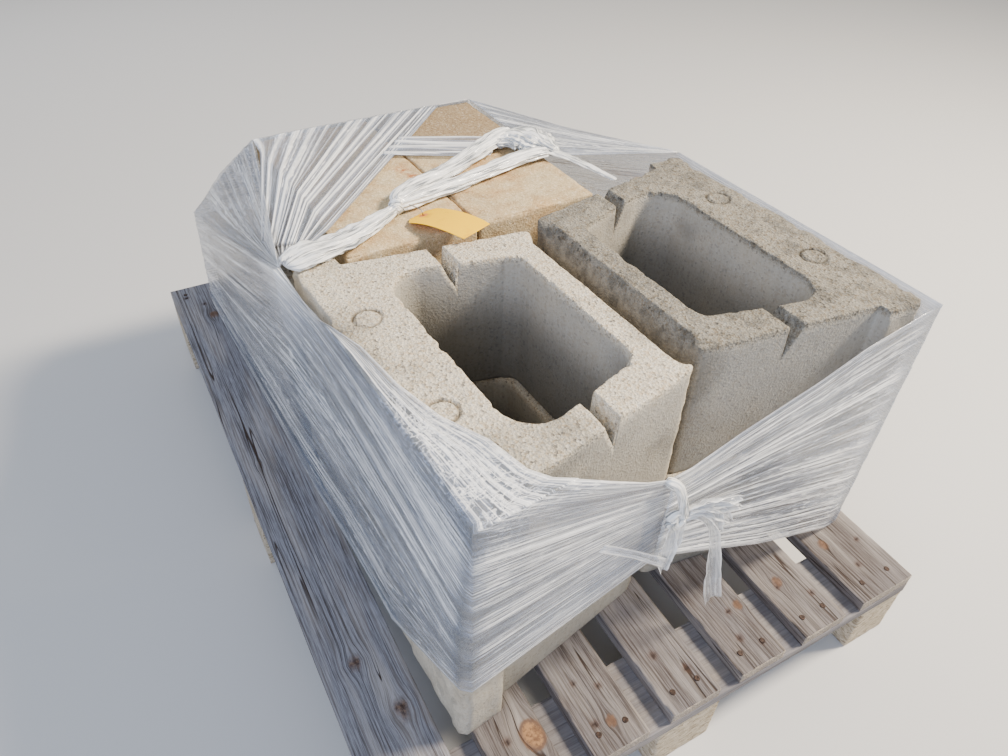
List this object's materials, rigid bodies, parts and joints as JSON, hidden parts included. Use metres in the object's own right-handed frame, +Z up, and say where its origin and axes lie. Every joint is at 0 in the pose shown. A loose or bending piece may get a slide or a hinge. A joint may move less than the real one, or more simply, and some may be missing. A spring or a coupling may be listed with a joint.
{
  "type": "pallet of concrete blocks",
  "caption": "Wooden block pallet carrying hollow split-face wall blocks and solid concrete blocks, held by knotted clear stretch film with a blank tag.",
  "frame": {"origin": "centre of the pallet's footprint, on the ground", "axes": "+Z up, +Y along the deck boards from the front to the back, +X across the boards to the right"},
  "size_m": [0.8, 1.2, 0.5583],
  "materials": {
    "pallet_wood": "weathered bare boards",
    "chip_block": "pressed wood chips",
    "grey_concrete": "cast, sandy, split on the face and tail",
    "tan_concrete": "cast smooth, stained",
    "stretch_film": "clear stretch film in many streaks",
    "nail_steel": "rusty nail heads",
    "tag_card": "yellow card",
    "tag_wire": "thin wire"
  },
  "bodies": {
    "root": {"back_cross_board": "pallet_wood", "back_feet": "chip_block", "deck_board_1": "pallet_wood", "deck_board_2": "pallet_wood", "deck_board_3": "pallet_wood", "deck_board_4": "pallet_wood", "deck_board_5": "pallet_wood", "deck_board_6": "pallet_wood", "deck_board_7": "pallet_wood", "film_back": "stretch_film", "film_back_slope": "stretch_film", "film_band": "stretch_film", "film_bunch": "stretch_film", "film_fan": "stretch_film", "film_front_left": "stretch_film", "film_front_right": "stretch_film", "film_knot": "stretch_film", "film_lap": "stretch_film", "film_left": "stretch_film", "film_left_ledge": "stretch_film", "film_left_shoulder": "stretch_film", "film_loop": "stretch_film", "film_right": "stretch_film", "film_right_pane": "stretch_film", "film_right_shoulder": "stretch_film", "film_rope": "stretch_film", "front_cross_board": "pallet_wood", "front_feet": "chip_block", "front_knot": "stretch_film", "front_tail": "stretch_film", "lower_block_left": "grey_concrete", "lower_block_right": "grey_concrete", "middle_cross_board": "pallet_wood", "middle_feet": "chip_block", "nail_heads": "nail_steel", "rear_block_left": "grey_concrete", "rear_block_right": "grey_concrete", "solid_block_left": "tan_concrete", "solid_block_right": "tan_concrete", "tag": "tag_card", "tag_wire": "tag_wire", "upper_block_left": "grey_concrete", "upper_block_right": "grey_concrete"}
  },
  "joints": []
}
